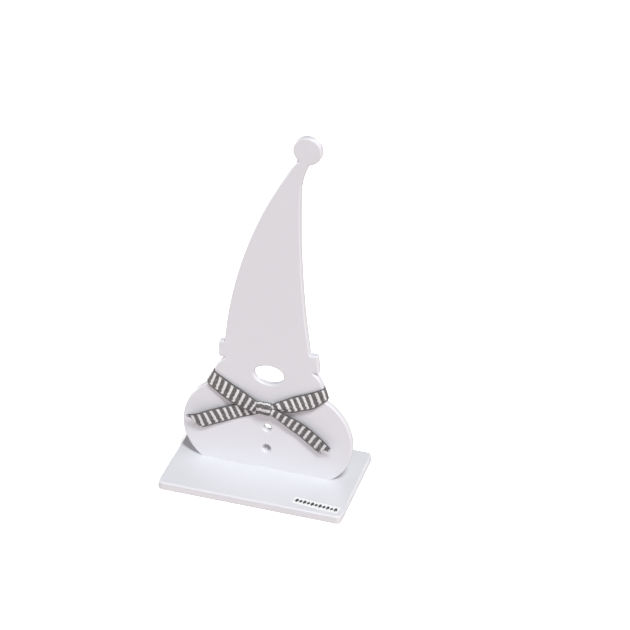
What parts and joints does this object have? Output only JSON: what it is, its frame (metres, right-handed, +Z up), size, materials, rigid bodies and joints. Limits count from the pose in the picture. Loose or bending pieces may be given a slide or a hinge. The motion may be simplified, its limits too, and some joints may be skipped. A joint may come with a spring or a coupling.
{
  "type": "tomte gnome figurine",
  "caption": "Flat gnome silhouette with a tall bent hat and a bobble, standing upright on a rectangular base, with a striped ribbon tied round its neck.",
  "frame": {"origin": "middle of the base plate's underside", "axes": "+X to the gnome's left, which is right when seen from the front; +Y to the back; +Z up"},
  "size_m": [0.1226, 0.078, 0.247],
  "materials": {
    "white_lacquer": "satin white lacquer over board",
    "screw_steel": "zinc plated",
    "ribbon_fabric": "woven grosgrain, dark grey with silver white cross stripes",
    "label_paper": null
  },
  "bodies": {
    "root": {"base_plate": "white_lacquer", "gnome_panel": "white_lacquer", "fixing_screw_left": "screw_steel", "fixing_screw_right": "screw_steel", "ribbon_neck_band": "ribbon_fabric", "ribbon_knot": "ribbon_fabric", "ribbon_tail_left": "ribbon_fabric", "ribbon_tail_right": "ribbon_fabric", "label_sticker": "label_paper"}
  },
  "joints": []
}
